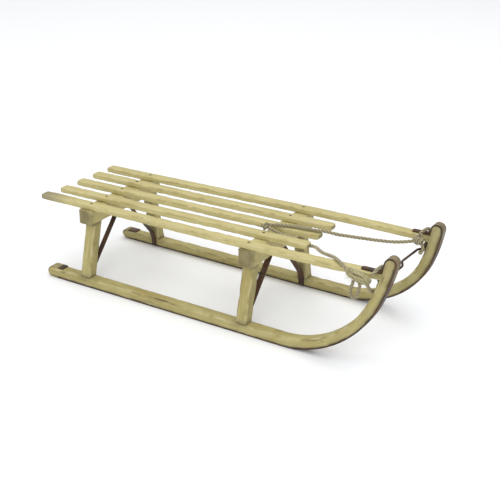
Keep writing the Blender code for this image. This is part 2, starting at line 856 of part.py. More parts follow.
def make_rope(name, route, step):
    """A tube along a route, as a curve with filled caps."""
    curve = bpy.data.curves.new(name, "CURVE")
    curve.dimensions = "3D"
    curve.bevel_depth = rope_radius
    curve.bevel_resolution = 2
    curve.use_fill_caps = True
    points = smooth_route(route, step)
    spline = curve.splines.new("POLY")
    spline.points.add(len(points) - 1)
    for knot, point in zip(spline.points, points):
        knot.co = (*(point - points[0]), 1)
    rope = bpy.data.objects.new(name, curve)
    rope.location = points[0]
    bpy.context.collection.objects.link(rope)
    curve.materials.append(make_material(name + "_finish", hemp, 0.9))
    return rope


def make_knot(name, centre, radii):
    """A knot's outer shape: a lump with its own three radii."""
    bm = bmesh.new()
    bmesh.ops.create_uvsphere(bm, u_segments=12, v_segments=8, radius=1)
    bmesh.ops.scale(bm, verts=bm.verts, vec=radii)
    bmesh.ops.translate(bm, verts=bm.verts, vec=centre)
    return place(name, bm, centre, hemp, 0.9)


def make_ropes():
    make_rope("rope_left_run", left_run, rope_step)
    make_rope("rope_right_run", right_run, rope_step)
    make_rope("rope_left_loop", left_loop, rope_step / 2)
    make_rope("rope_right_loop", right_loop, rope_step / 2)
    make_rope("rope_bight", hanging_bight, rope_step / 2)
    make_knot("knot_centre", centre_knot, (0.0095, 0.0095, 0.0095))
    make_knot("knot_left", left_knot, (0.0105, 0.0105, 0.0105))
    make_knot("knot_right", right_knot, (0.030, 0.0095, 0.0125))


def build():
    pieces = {}
    for word, side in sides.items():
        pieces["runner_" + word] = make_runner(word, side)
        pieces["shoe_" + word] = make_shoe(word, side)
        pieces["strap_" + word] = make_strap(word, side)
        for which in bar_at:
            pieces["leg_" + which + "_" + word] = make_leg(which, word, side)
    for which in bar_at:
        pieces["crossbar_" + which] = make_bar(which)
        pieces["arch_" + which] = make_arch(which)
    for number in "12345":
        pieces["slat_" + number] = make_slat(number)
    pieces["cross_rod"] = make_rod()
    for word, side in sides.items():
        floor = runner_depth + clearance - foot_tenon - 0.001
        sockets = [mortise(which, side, floor, runner_depth + 0.01) for which in bar_at]
        combine(pieces["runner_" + word], make_cutter("runner_mortises_" + word, sockets))
        notch = make_cutter("notch_" + word, [notch_body("1" if side < 0 else "5")])
        combine(pieces["runner_" + word], notch)
    for which in bar_at:
        roof = bar_low[which] + head_tenon + 0.001
        sockets = [mortise(which, side, bar_low[which] - 0.01, roof) for side in sides.values()]
        combine(pieces["crossbar_" + which], make_cutter("bar_mortises_" + which, sockets))
    make_screws(pieces)
    make_ropes()


build()
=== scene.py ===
# A slatted wooden toboggan: worn khaki timber, rusty irons and a hairy pull rope, over its CAD frame.
# Metres. X runs forward to the horns, Y to the sled's left, Z up.
import json
from math import atan2, cos, pi, radians, sin
from random import Random

import bmesh
import bpy
from mathutils import Matrix, Vector, noise

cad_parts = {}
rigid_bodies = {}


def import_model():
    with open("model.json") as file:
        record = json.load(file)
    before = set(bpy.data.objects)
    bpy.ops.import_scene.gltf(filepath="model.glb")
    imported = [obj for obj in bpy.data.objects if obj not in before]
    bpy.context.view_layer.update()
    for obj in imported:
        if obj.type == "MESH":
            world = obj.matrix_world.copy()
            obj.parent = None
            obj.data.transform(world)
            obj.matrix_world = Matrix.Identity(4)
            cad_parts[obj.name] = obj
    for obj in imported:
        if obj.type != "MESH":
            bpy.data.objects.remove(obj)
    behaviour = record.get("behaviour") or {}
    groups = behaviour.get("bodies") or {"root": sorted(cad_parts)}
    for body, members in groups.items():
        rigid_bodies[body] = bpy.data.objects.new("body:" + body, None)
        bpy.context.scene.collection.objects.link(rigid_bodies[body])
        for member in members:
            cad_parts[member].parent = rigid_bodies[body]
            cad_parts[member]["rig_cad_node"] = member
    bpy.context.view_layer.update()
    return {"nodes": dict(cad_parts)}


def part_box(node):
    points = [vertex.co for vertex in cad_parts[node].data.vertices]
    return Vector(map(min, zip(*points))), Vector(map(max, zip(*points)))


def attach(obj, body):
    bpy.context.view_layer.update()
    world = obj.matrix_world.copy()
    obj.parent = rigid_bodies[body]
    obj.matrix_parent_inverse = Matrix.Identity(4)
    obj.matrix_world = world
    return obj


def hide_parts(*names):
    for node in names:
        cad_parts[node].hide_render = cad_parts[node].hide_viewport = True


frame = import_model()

sides = {"right": -1, "left": 1}


# Camera.

view = {
    "place": (1.31984, -2.14046, 1.25308),
    "right": (0.85605, 0.51662, 0.01668),
    "up": (-0.22215, 0.33859, 0.91433),
    "forward": (-0.46672, 0.78642, -0.40462),
    "lens": 75.86,
    "shift": (0.0004, -0.0066),
}
cameraData = bpy.data.cameras.new("camera")
cameraData.lens = view["lens"]
cameraData.sensor_width = 36
cameraData.shift_x, cameraData.shift_y = view["shift"]
camera = bpy.data.objects.new("camera", cameraData)
bpy.context.collection.objects.link(camera)
turned = Matrix((view["right"], view["up"], -Vector(view["forward"]))).transposed().to_4x4()
camera.matrix_world = Matrix.Translation(view["place"]) @ turned
bpy.context.scene.camera = camera


# Small tools for meshes.


def join(bodies):
    whole = bmesh.new()
    for body in bodies:
        part = bpy.data.meshes.new("part")
        body.to_mesh(part)
        body.free()
        whole.from_mesh(part)
        bpy.data.meshes.remove(part)
    return whole


def finishPiece(name, body, material, nodes=(), sharp=40):
    bmesh.ops.recalc_face_normals(body, faces=body.faces)
    mesh = bpy.data.meshes.new(name)
    body.to_mesh(mesh)
    body.free()
    mesh.shade_smooth()
    mesh.set_sharp_from_angle(angle=radians(sharp))
    mesh.materials.append(material)
    piece = bpy.data.objects.new(name, mesh)
    bpy.context.collection.objects.link(piece)
    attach(piece, "root")
    if nodes:
        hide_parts(*nodes)
    return piece


def loftRings(rings, layers):
    # rings of (point, {layer: value}) pairs become one closed body, one extrusion per ring
    body = bmesh.new()
    store = {name: body.verts.layers.float_vector.new(name) for name in layers}
    cap = body.faces.new([body.verts.new(point) for point, marks in rings[0]])
    for number, ring in enumerate(rings):
        if number:
            made = bmesh.ops.extrude_face_region(body, geom=[cap])["geom"]
            if number > 1:
                bmesh.ops.delete(body, geom=[cap], context="FACES_ONLY")
            cap = next(item for item in made if isinstance(item, bmesh.types.BMFace))
        for vert, (point, marks) in zip(cap.verts, ring):
            vert.co = point
            for name, value in marks.items():
                vert[store[name]] = value
    return body


def smoothRoute(route, step):
    # evenly spaced points on a smooth curve through a route's points
    points = [Vector(point) for point in route]
    fine = []
    for number in range(len(points) - 1):
        before = points[max(number - 1, 0)]
        start, end = points[number], points[number + 1]
        after = points[min(number + 2, len(points) - 1)]
        for part in range(20):
            t = part / 20
            a, b = (end - before) * 0.5, (after - start) * 0.5
            spot = start * (2 * t**3 - 3 * t**2 + 1) + a * (t**3 - 2 * t**2 + t)
            fine.append(spot + end * (3 * t**2 - 2 * t**3) + b * (t**3 - t**2))
    fine.append(points[-1])
    walked = [0.0]
    for one, other in zip(fine, fine[1:]):
        walked.append(walked[-1] + (other - one).length)
    count = max(round(walked[-1] / step), 2)
    even, at = [], 0
    for number in range(count + 1):
        wanted = walked[-1] * number / count
        while at < len(fine) - 2 and walked[at + 1] < wanted:
            at += 1
        share = (wanted - walked[at]) / (walked[at + 1] - walked[at])
        even.append(fine[at].lerp(fine[at + 1], share))
    return even


def routeLength(points):
    return sum((b - a).length for a, b in zip(points, points[1:]))


# Small tools for materials.


def addNode(tree, kind, values=None, **settings):
    made = tree.nodes.new("ShaderNode" + kind)
    for name, value in settings.items():
        setattr(made, name, value)
    for name, value in (values or {}).items():
        if isinstance(value, bpy.types.NodeSocket):
            tree.links.new(value, made.inputs[name])
        else:
            made.inputs[name].default_value = value
    return made


def mixColour(tree, factor, first, second, blend="MIX"):
    made = tree.nodes.new("ShaderNodeMix")
    made.data_type = "RGBA"
    made.blend_type = blend
    for place, value in ((0, factor), (6, first), (7, second)):
        if isinstance(value, bpy.types.NodeSocket):
            tree.links.new(value, made.inputs[place])
        elif place:
            made.inputs[place].default_value = (*value, 1)
        else:
            made.inputs[place].default_value = value
    return made.outputs[2]


def span(tree, value, low, high, toLow=0.0, toHigh=1.0):
    values = {"Value": value, "From Min": low, "From Max": high, "To Min": toLow, "To Max": toHigh}
    return addNode(tree, "MapRange", values, interpolation_type="SMOOTHSTEP").outputs["Result"]


def calc(tree, operation, first, second=0.0):
    return addNode(tree, "Math", {0: first, 1: second}, operation=operation).outputs[0]


def noiseOf(tree, place, scale, detail=3.0, rough=0.55, stretch=(1, 1, 1), shift=(0, 0, 0), twist=0.0):
    moved = addNode(tree, "Mapping", {"Vector": place, "Scale": stretch, "Location": shift})
    values = {"Vector": moved.outputs[0], "Scale": scale, "Detail": detail, "Roughness": rough}
    values["Distortion"] = twist
    return addNode(tree, "TexNoise", values).outputs[0]


def newMaterial(name):
    material = bpy.data.materials.new(name)
    material.use_nodes = True
    tree = material.node_tree
    return material, tree, tree.nodes["Principled BSDF"]


# The pull rope: three-strand hemp with loose hairs.

hempLook = {
    "pale": (0.43, 0.375, 0.215),
    "mid": (0.28, 0.24, 0.13),
    # dark colour for painted shade in the rope's crevices
    "creviceShade": (0.085, 0.068, 0.030),
    "roughness": 0.9,
}


def hempMaterial(name, look):
    material, tree, shader = newMaterial(name)
    lay = addNode(tree, "Attribute", attribute_name="ropePlace").outputs["Vector"]
    parts = addNode(tree, "SeparateXYZ", {0: lay})
    place = addNode(tree, "TexCoord").outputs["Object"]
    fibre = noiseOf(tree, lay, 1.0, 4.0, 0.7, (240, 5.5, 1))
    yarn = noiseOf(tree, lay, 1.0, 2.0, 0.6, (900, 2.2, 1), (3, 1, 0))
    stain = noiseOf(tree, place, 38.0, 3.0)
    tone = span(tree, fibre, 0.32, 0.66)
    colour = mixColour(tree, tone, look["mid"], look["pale"])
    # dark grooves between the yarns, painted shade
    colour = mixColour(tree, span(tree, yarn, 0.58, 0.72, 0.0, 0.45), colour, look["creviceShade"])
    colour = mixColour(tree, span(tree, stain, 0.5, 0.72, 0.0, 0.5), colour, look["mid"])
    # painted shade where the strands tuck between each other and in the knots' folds
    colour = mixColour(tree, span(tree, parts.outputs["Z"], 0.85, 0.30, 0.0, 0.95), colour, look["creviceShade"])
    tree.links.new(colour, shader.inputs["Base Color"])
    shader.inputs["Roughness"].default_value = look["roughness"]
    shader.inputs["Sheen Weight"].default_value = 0.25
    shader.inputs["Sheen Roughness"].default_value = 0.6
    height = calc(tree, "ADD", fibre, calc(tree, "MULTIPLY", yarn, 0.6))
    bump = addNode(tree, "Bump", {"Height": height, "Strength": 0.7, "Distance": 0.0006})
    tree.links.new(bump.outputs[0], shader.inputs["Normal"])
    return material


def hairMaterial(name, look):
    material, tree, shader = newMaterial(name)
    place = addNode(tree, "TexCoord").outputs["Object"]
    tone = noiseOf(tree, place, 160.0, 2.0)
    colour = mixColour(tree, span(tree, tone, 0.3, 0.7), look["mid"], look["pale"])
    tree.links.new(colour, shader.inputs["Base Color"])
    shader.inputs["Roughness"].default_value = 0.8
    shader.inputs["Sheen Weight"].default_value = 0.2
    return material


hemp = hempMaterial("hemp", hempLook)
hempPale = hempMaterial("hempPale", dict(hempLook, pale=(0.44, 0.395, 0.205), mid=(0.37, 0.33, 0.155)))
hempHair = hairMaterial("hempHair", hempLook)

ropeShape = {
    "diameter": 0.008,
    "layRadius": 0.0045,
    "strandRadius": 0.00208,
    "pitch": 0.029,
    "step": 0.0024,
    "sides": 9,
    "hairsPerMetre": 620,
    "hairRadius": 0.00016,
}


def ropeFrames(points):
    # the rope's direction and two square directions at each point, carried on without twist
    frames = []
    across = None
    for number, point in enumerate(points):
        ahead = points[min(number + 1, len(points) - 1)] - points[max(number - 1, 0)]
        along = ahead.normalized()
        if across is None:
            across = along.orthogonal().normalized()
        across = (across - along * across.dot(along)).normalized()
        frames.append((along, across, along.cross(across)))
    return frames


def layRope(points, shape, radius=None, loose=0.0, seed=0):
    # three strands laid round each other along a line of points
    radius = radius or shape["layRadius"]
    thin = shape["strandRadius"] * radius / shape["layRadius"]
    offset = radius - thin
    frames = ropeFrames(points)
    walked = [0.0]
    for one, other in zip(points, points[1:]):
        walked.append(walked[-1] + (other - one).length)
    bodies = []
    for strand in range(3):
        rings = []
        for point, (along, across, third), gone in zip(points, frames, walked):
            turn = 2 * pi * (gone / shape["pitch"] + strand / 3)
            wobble = 1 + loose * noise.noise(Vector((gone * 70, strand * 9.1, seed)))
            outward = across * cos(turn) + third * sin(turn)
            middle = point + outward * offset * wobble
            slope = 2 * pi * offset / shape["pitch"]
            heading = (along + (third * cos(turn) - across * sin(turn)) * slope).normalized()
            a = (outward - heading * outward.dot(heading)).normalized()
            b = heading.cross(a)
            ring = []
            fat = thin * (1 + 0.10 * noise.noise(Vector((gone * 160, strand * 5.3, seed + 4))))
            for side in range(shape["sides"]):
                spin = 2 * pi * side / shape["sides"]
                spot = middle + (a * cos(spin) + b * sin(spin)) * fat
                # depth is 1 on the strand's outer side and 0 where it tucks in; the rope material paints shade
                # where it is low
                depth = 0.5 + 0.5 * cos(spin)
                lay = (gone + strand * 0.37 + seed, 4.0 * sin(spin / 2) + strand, depth)
                ring.append((spot, {"ropePlace": lay}))
            rings.append(ring)
        bodies.append(loftRings(rings, ["ropePlace"]))
    return join(bodies)


def growHairs(name, roots, radius, nodes=()):
    # roots of (start, direction, length, droop); each hair is a thin bent curve, made a mesh
    curve = bpy.data.curves.new(name, "CURVE")
    curve.dimensions = "3D"
    curve.bevel_depth = radius
    curve.bevel_resolution = 0
    curve.use_fill_caps = True
    for start, direction, length, droop in roots:
        line = curve.splines.new("POLY")
        line.points.add(3)
        for number, knot in enumerate(line.points):
            share = number / 3
            spot = start + direction * length * share + Vector(droop) * length * share * share
            knot.co = (*spot, 1)
            knot.radius = 1 - 0.55 * share
    holder = bpy.data.objects.new(name + "Holder", curve)
    bpy.context.collection.objects.link(holder)
    made = bpy.data.meshes.new_from_object(holder.evaluated_get(bpy.context.evaluated_depsgraph_get()))
    bpy.data.objects.remove(holder)
    body = bmesh.new()
    body.from_mesh(made)
    bpy.data.meshes.remove(made)
    return finishPiece(name, body, hempHair, nodes, 60)


def ropeHairs(name, points, shape, seed, amount=1.0, long=1.0):
    draw = Random(seed)
    frames = ropeFrames(points)
    roots = []
    for number in range(int(routeLength(points) * shape["hairsPerMetre"] * amount)):
        at = draw.randrange(1, len(points) - 1)
        along, across, third = frames[at]
        turn = draw.uniform(0, 2 * pi)
        outward = across * cos(turn) + third * sin(turn)
        start = points[at].lerp(points[at + 1], draw.random()) + outward * shape["diameter"] * 0.40
        heading = (outward * draw.uniform(0.25, 1.0) + along * draw.uniform(-1.0, 1.0)).normalized()
        length = draw.uniform(0.003, 0.0085) * long
        droop = (draw.uniform(-0.3, 0.3), draw.uniform(-0.3, 0.3), draw.uniform(-0.5, 0.1))
        roots.append((start, heading, length, droop))
    return growHairs(name, roots, shape["hairRadius"])


routes = {
    "leftRun": [
        (0.1270, -0.0358, 0.2432), (0.1335, -0.0255, 0.2408), (0.1448, -0.0148, 0.2394),
        (0.1687, -0.0064, 0.2396), (0.1947, -0.0021, 0.2400), (0.2214, 0.0005, 0.2405),
        (0.2450, 0.0025, 0.2413), (0.2590, 0.0065, 0.2418), (0.2700, 0.0115, 0.2396),
        (0.2900, 0.0205, 0.2352), (0.3162, 0.0322, 0.2324), (0.3499, 0.0473, 0.2290),
        (0.3836, 0.0623, 0.2262), (0.4120, 0.0755, 0.2250), (0.4350, 0.0870, 0.2264),
        (0.4570, 0.0980, 0.2297),
    ],
    "rightRun": [
        (0.1306, -0.0465, 0.2399), (0.1410, -0.0475, 0.2384), (0.1540, -0.0475, 0.2352),
        (0.1680, -0.0470, 0.2310), (0.1840, -0.0468, 0.2262), (0.2040, -0.0466, 0.2216),
        (0.2250, -0.0464, 0.2196), (0.2450, -0.0464, 0.2198), (0.2600, -0.0476, 0.2208),
        (0.2710, -0.0560, 0.2232), (0.2840, -0.0700, 0.2262), (0.3060, -0.0900, 0.2315),
        (0.3300, -0.1065, 0.2375), (0.3500, -0.1200, 0.2425), (0.3660, -0.1320, 0.2438),
        (0.3800, -0.1440, 0.2445), (0.3920, -0.1535, 0.2425), (0.4010, -0.1590, 0.2372),
    ],
    "leftLoop": [
        (0.4684, 0.1060, 0.2463), (0.4700, 0.1130, 0.2514), (0.4735, 0.1290, 0.2530),
        (0.4752, 0.1420, 0.2516), (0.4762, 0.1520, 0.2446), (0.4758, 0.1544, 0.2320),
        (0.4740, 0.1516, 0.2190), (0.4705, 0.1420, 0.2075), (0.4680, 0.1280, 0.1985),
        (0.4697, 0.1150, 0.1950), (0.4755, 0.1066, 0.2000), (0.4800, 0.1052, 0.2090),
        (0.4788, 0.1050, 0.2160), (0.4750, 0.1049, 0.2231),
    ],
    "rightLoop": [
        (0.4640, -0.1590, 0.2400), (0.4672, -0.1530, 0.2464), (0.4700, -0.1440, 0.2507),
        (0.4715, -0.1320, 0.2522), (0.4722, -0.1190, 0.2495), (0.4718, -0.1090, 0.2410),
        (0.4715, -0.1070, 0.2300), (0.4720, -0.1062, 0.2150), (0.4720, -0.1060, 0.2000),
        (0.4680, -0.1080, 0.1890), (0.4600, -0.1140, 0.1845), (0.4560, -0.1250, 0.1850),
        (0.4560, -0.1370, 0.1905), (0.4560, -0.1500, 0.2010), (0.4545, -0.1570, 0.2110),
        (0.4525, -0.1595, 0.2180),
    ],
    "hangingBight": [
        (0.4215, -0.1630, 0.2170), (0.4190, -0.1640, 0.2076), (0.4165, -0.1640, 0.1965),
        (0.4150, -0.1640, 0.1863), (0.4175, -0.1640, 0.1795), (0.4245, -0.1640, 0.1770),
        (0.4315, -0.1640, 0.1800), (0.4350, -0.1640, 0.1889), (0.4368, -0.1640, 0.1991),
        (0.4375, -0.1635, 0.2084), (0.4378, -0.1628, 0.2165),
    ],
}
knotPlaces = {
    "centre": Vector((0.1200, -0.0440, 0.2412)),
    "left": Vector((0.4668, 0.1046, 0.2325)),
    "right": Vector((0.4320, -0.1612, 0.2320)),
}


def overhandLine(centre, reach, tilt, stretch=(1, 1, 1)):
    # a closed three-lobed knot, pulled tight
    line = []
    for number in range(73):
        t = 2 * pi * number / 72
        spot = Vector((sin(t) + 2 * sin(2 * t), cos(t) - 2 * cos(2 * t), -1.6 * sin(3 * t))) / 3
        spot.rotate(Matrix.Rotation(tilt, 3, "X") @ Matrix.Rotation(tilt * 0.7, 3, "Z"))
        spot = Vector(a * b for a, b in zip(spot, stretch))
        line.append(Vector(centre) + spot * reach)
    return line


def woundYarns(centre, radii, axis, seed, count, turnRange, fat):
    # loose yarns wound round a long lump, with a few crossing it
    draw = Random(seed)
    bodies = []
    for yarn in range(count):
        start, line = draw.uniform(0, 2 * pi), []
        turns = draw.uniform(*turnRange) * draw.choice((-1, 1))
        inside = 0.62 + 0.10 * (yarn % 3)
        for number in range(44):
            share = number / 43
            angle = start + 2 * pi * turns * share
            along = cos(pi * (0.08 + 0.84 * share))
            wide = inside * sin(pi * (0.08 + 0.84 * share)) ** 0.7
            wobble = 1 + 0.25 * noise.noise(Vector((share * 5, yarn * 3.7, seed)))
            spot = Vector((along * 0.9, cos(angle) * wide * wobble, sin(angle) * wide * wobble))
            spot = Vector(a * b for a, b in zip(spot, radii))
            spot.rotate(axis)
            line.append(Vector(centre) + spot)
        even = smoothRoute(line, 0.0024)
        bodies.append(layRope(even, ropeShape, draw.uniform(*fat), 0.35, seed + yarn))
    return join(bodies)


def coreLump(centre, radii, axis, seed):
    # the knot's tight inside, which closes the gaps between its yarns
    body = bmesh.new()
    bmesh.ops.create_icosphere(body, subdivisions=4, radius=1)
    layer = body.verts.layers.float_vector.new("ropePlace")
    for vert in body.verts:
        out = vert.co.copy()
        fold = noise.noise(Vector((out.x * 1.5, out.y * 4, out.z * 4)) + Vector((seed, 0, 0)))
        spot = Vector(a * b for a, b in zip(out * (1 + 0.22 * fold), radii))
        spot.rotate(axis)
        # the third value is low in the folds, where the rope material paints shade
        vert[layer] = (spot.x + seed, (out.y + out.z) * 2.0, 0.72 + 0.9 * fold)
        vert.co = Vector(centre) + spot
    return body


def makeRopes():
    made = {}
    for number, (word, node) in enumerate({
        "leftRun": "rope_left_run", "rightRun": "rope_right_run", "leftLoop": "rope_left_loop",
        "rightLoop": "rope_right_loop", "hangingBight": "rope_bight",
    }.items()):
        points = smoothRoute(routes[word], ropeShape["step"])
        body = layRope(points, ropeShape, seed=number)
        rope = finishPiece("rope_" + word, body, hemp, [node], 60)
        hairs = ropeHairs("ropeHairs_" + word, points, ropeShape, 20 + number)
        made[word] = (rope, hairs, points)
    line = overhandLine(knotPlaces["centre"], 0.0098, 0.5, (1.1, 1, 0.8))
    centre = finishPiece(
        "ropeKnot_centre", layRope(smoothRoute(line, 0.0022), ropeShape, 0.0033, 0.1, 8),
        hemp, ["knot_centre"], 60,
    )
    level = Matrix.Identity(3)
    ball = (0.0118, 0.0112, 0.0118)
    body = join([
        coreLump(knotPlaces["left"], [size * 0.80 for size in ball], level, 3),
        woundYarns(knotPlaces["left"], ball, level, 9, 7, (0.8, 1.5), (0.0030, 0.0042)),
    ])
    left = finishPiece("ropeKnot_left", body, hemp, ["knot_left"], 60)
    axis = Matrix.Rotation(radians(17), 3, "Y")
    mass = (0.0345, 0.0100, 0.0150)
    body = join([
        coreLump(knotPlaces["right"], [size * 0.84 for size in mass], axis, 5),
        woundYarns(knotPlaces["right"], mass, axis, 31, 13, (0.10, 0.55), (0.0024, 0.0036)),
    ])
    right = finishPiece("ropeKnot_right", body, hempPale, ["knot_right"], 60)
    draw = Random(77)
    tassels = []
    places = {
        "centre": (45, 0.012, (-0.6, -0.2, 0.1), (0.008, 0.008, 0.004)),
        "left": (110, 0.014, (-0.5, -0.3, -0.3), (0.008, 0.008, 0.008)),
        "right": (260, 0.017, (-0.5, -0.35, -0.4), (0.026, 0.007, 0.009)),
    }
    for word, (count, long, lean, spread) in places.items():
        roots = []
        for number in range(count):
            shift = Vector([draw.uniform(-1, 1) * size for size in spread])
            start = knotPlaces[word] + shift
            out = Vector((draw.uniform(-1, 1), draw.uniform(-1, 1), draw.uniform(-1, 1)))
            heading = (out.normalized() * 0.9 + Vector(lean)).normalized()
            length = long * draw.uniform(0.35, 1.0)
            roots.append((start, heading, length, (0, 0, draw.uniform(-0.5, 0.0))))
        tassels.append(growHairs("ropeTassel_" + word, roots, 0.00020))
    ends = {
        "leftRun": ((0.1270, -0.0358, 0.2432), "knot", [centre, tassels[0]]),
        "rightRun": ((0.1306, -0.0465, 0.2399), "knot", [right, tassels[2]]),
        "leftLoop": ((0.4684, 0.1060, 0.2463), "knot", [left, tassels[1]]),
        "rightLoop": ((0.4640, -0.1590, 0.2400), "object", []),
        "hangingBight": ((0.4215, -0.1630, 0.2170), "object", []),
    }
    for word, (leaves, farEnd, others) in ends.items():
        rope, hairs, points = made[word]


makeRopes()
print("rope made")


# Timber. Every wooden piece is lofted with three marks on its points: grainPlace, the place in the
# straightened board with its grain along X; a wear mark, how worn the edge and end are and how grey the
# surface is, the grey also a painted sky reflection along the slats' far top edges; and a dark mark, how
# dark the place is made, from dirt and from painted shade on the legs' inner faces, along the runners' soles
# and at the outer slats' front ends, and how deep its cracks are.

woodMarks = ["grainPlace", "wearSheenMap", "dirtShadeMap"]

frameLook = {
    "pale": (0.475, 0.415, 0.185),
    "dark": (0.335, 0.285, 0.103),
    "warm": (0.35, 0.265, 0.085),
    "bare": (0.53, 0.48, 0.29),
    "end": (0.29, 0.245, 0.120),
    # grey for weathered wood, also used as a painted sky reflection on the slats' far top edges
    "greyAndSheen": (0.33, 0.30, 0.20),
    # grime colour, also used for painted shade
    "grimeAndShade": (0.085, 0.062, 0.026),
    "specks": 0.9,
    "ringGap": 0.0040,
}
seatLook = dict(
    frameLook, pale=(0.56, 0.495, 0.235), dark=(0.42, 0.36, 0.145), warm=(0.44, 0.365, 0.14), specks=0.4
)


def timber(name, look, stainsAndShade=(), seed=0.0):
    material, tree, shader = newMaterial(name)
    place = addNode(tree, "Attribute", attribute_name="grainPlace").outputs["Vector"]
    wearSheenMap = addNode(tree, "Attribute", attribute_name="wearSheenMap").outputs["Vector"]
    dirtShadeMap = addNode(tree, "Attribute", attribute_name="dirtShadeMap").outputs["Vector"]
    wearAndSheen = addNode(tree, "SeparateXYZ", {0: wearSheenMap})
    darkening = addNode(tree, "SeparateXYZ", {0: dirtShadeMap})
    shift = (seed * 1.7, seed * 0.31, seed * 0.53)
    fibre = noiseOf(tree, place, 1.0, 5.0, 0.68, (16, 420, 420), shift)
    streak = noiseOf(tree, place, 1.0, 3.0, 0.6, (6, 120, 120), shift)
    patch = noiseOf(tree, place, 7.0, 3.0, 0.5, (1, 2.2, 2.2), shift)
    blotch = noiseOf(tree, place, 34.0, 4.0, 0.6, (0.7, 1, 1), shift)
    spot = noiseOf(tree, place, 60.0, 4.0, 0.6, (0.5, 1, 1), shift)
    scratch = noiseOf(tree, place, 1.0, 2.0, 0.5, (10, 700, 700), shift)
    split = noiseOf(tree, place, 1.0, 1.5, 0.5, (4.5, 95, 95), shift, 0.3)
    ringPlace = addNode(tree, "Mapping", {
        "Vector": place, "Location": (0, 0.05, 0.08), "Scale": (0.1, 1, 1),
    })
    rings = addNode(tree, "TexWave", {
        "Vector": ringPlace.outputs[0], "Scale": 2 * pi / (20 * look["ringGap"]), "Distortion": 5.0,
        "Detail": 3.0, "Detail Scale": 0.22, "Detail Roughness": 0.5,
    }, wave_type="RINGS", rings_direction="X").outputs["Fac"]
    shade = tuple(c * 0.45 for c in look["dark"])
    tone = calc(tree, "ADD", calc(tree, "MULTIPLY", fibre, 0.55), calc(tree, "MULTIPLY", streak, 0.6))
    tone = calc(tree, "ADD", tone, calc(tree, "MULTIPLY", rings, 0.06))
    colour = mixColour(tree, span(tree, tone, 0.40, 0.80), look["dark"], look["pale"])
    colour = mixColour(tree, span(tree, patch, 0.50, 0.74, 0.0, 0.6), colour, look["warm"])
    colour = mixColour(tree, span(tree, blotch, 0.44, 0.68, 0.0, 0.5), colour, look["dark"])
    colour = mixColour(tree, span(tree, spot, 0.60, 0.75, 0.0, 0.3), colour, look["end"])
    colour = mixColour(tree, span(tree, scratch, 0.66, 0.74, 0.0, 0.5), colour, shade)
    edge = calc(tree, "MULTIPLY", wearAndSheen.outputs["X"], span(tree, spot, 0.42, 0.64))
    colour = mixColour(tree, calc(tree, "MULTIPLY", edge, 0.6), colour, look["bare"])
    rubbed = calc(tree, "MULTIPLY", wearAndSheen.outputs["X"], span(tree, spot, 0.52, 0.36))
    colour = mixColour(tree, calc(tree, "MULTIPLY", rubbed, 0.42), colour, tuple(c * 0.5 for c in look["end"]))
    endTone = mixColour(tree, span(tree, rings, 0.25, 0.8), tuple(c * 0.7 for c in look["end"]), look["end"])
    colour = mixColour(tree, calc(tree, "MULTIPLY", wearAndSheen.outputs["Y"], 0.85), colour, endTone)
    # greying: weathering, and the painted sky reflection on the slats' far top edges
    greyAndSheen = calc(tree, "MULTIPLY", wearAndSheen.outputs["Z"], span(tree, streak, 0.36, 0.62, 0.35, 1.0))
    colour = mixColour(tree, greyAndSheen, colour, look["greyAndSheen"])
    crease = calc(tree, "ABSOLUTE", calc(tree, "SUBTRACT", split, 0.5))
    crack = calc(tree, "MULTIPLY", span(tree, crease, 0.016, 0.004), span(tree, patch, 0.42, 0.56))
    crack = calc(tree, "MULTIPLY", crack, darkening.outputs["Y"])
    colour = mixColour(tree, crack, colour, look["grimeAndShade"])
    # darkening from the dark mark: dirt, and the painted shade that the pieces put in it
    soiledAndShaded = calc(tree, "MULTIPLY", darkening.outputs["X"], span(tree, blotch, 0.30, 0.62, 0.45, 1.0))
    colour = mixColour(tree, soiledAndShaded, colour, look["grimeAndShade"])
    # dark rings round the given points: stain, and painted shade
    for stain, size, depth in stainsAndShade:
        far = addNode(tree, "VectorMath", {0: place, 1: stain}, operation="DISTANCE").outputs["Value"]
        far = calc(tree, "ADD", far, calc(tree, "MULTIPLY", spot, size * 0.5))
        colour = mixColour(tree, span(tree, far, size * 1.3, size * 0.5, 0.0, depth), colour, look["grimeAndShade"])
    cells = addNode(tree, "Mapping", {"Vector": place, "Scale": (30, 42, 42), "Location": shift}).outputs[0]
    dots = addNode(tree, "TexVoronoi", {"Vector": cells, "Scale": 1.0, "Randomness": 1.0})
    ragged = calc(tree, "ADD", dots.outputs["Distance"], calc(tree, "MULTIPLY", spot, 0.12))
    chosen = addNode(tree, "SeparateColor", {0: dots.outputs["Color"]}).outputs[0]
    rare = calc(tree, "GREATER_THAN", chosen, 1 - 0.06 * look["specks"])
    speck = calc(tree, "MULTIPLY", span(tree, ragged, 0.135, 0.10), rare)
    colour = mixColour(tree, speck, colour, (0.80, 0.79, 0.72))
    tree.links.new(colour, shader.inputs["Base Color"])
    rough = calc(tree, "MULTIPLY", wearAndSheen.outputs["X"], 0.12)
    rough = calc(tree, "ADD", span(tree, streak, 0.3, 0.7, 0.48, 0.64), rough)
    tree.links.new(rough, shader.inputs["Roughness"])
    shader.inputs["Specular IOR Level"].default_value = 0.32
    height = calc(tree, "ADD", fibre, calc(tree, "MULTIPLY", scratch, -0.8))
    height = calc(tree, "ADD", height, calc(tree, "MULTIPLY", crack, -1.5))
    bump = addNode(tree, "Bump", {"Height": height, "Strength": 0.45, "Distance": 0.0006})
    tree.links.new(bump.outputs[0], shader.inputs["Normal"])
    return material


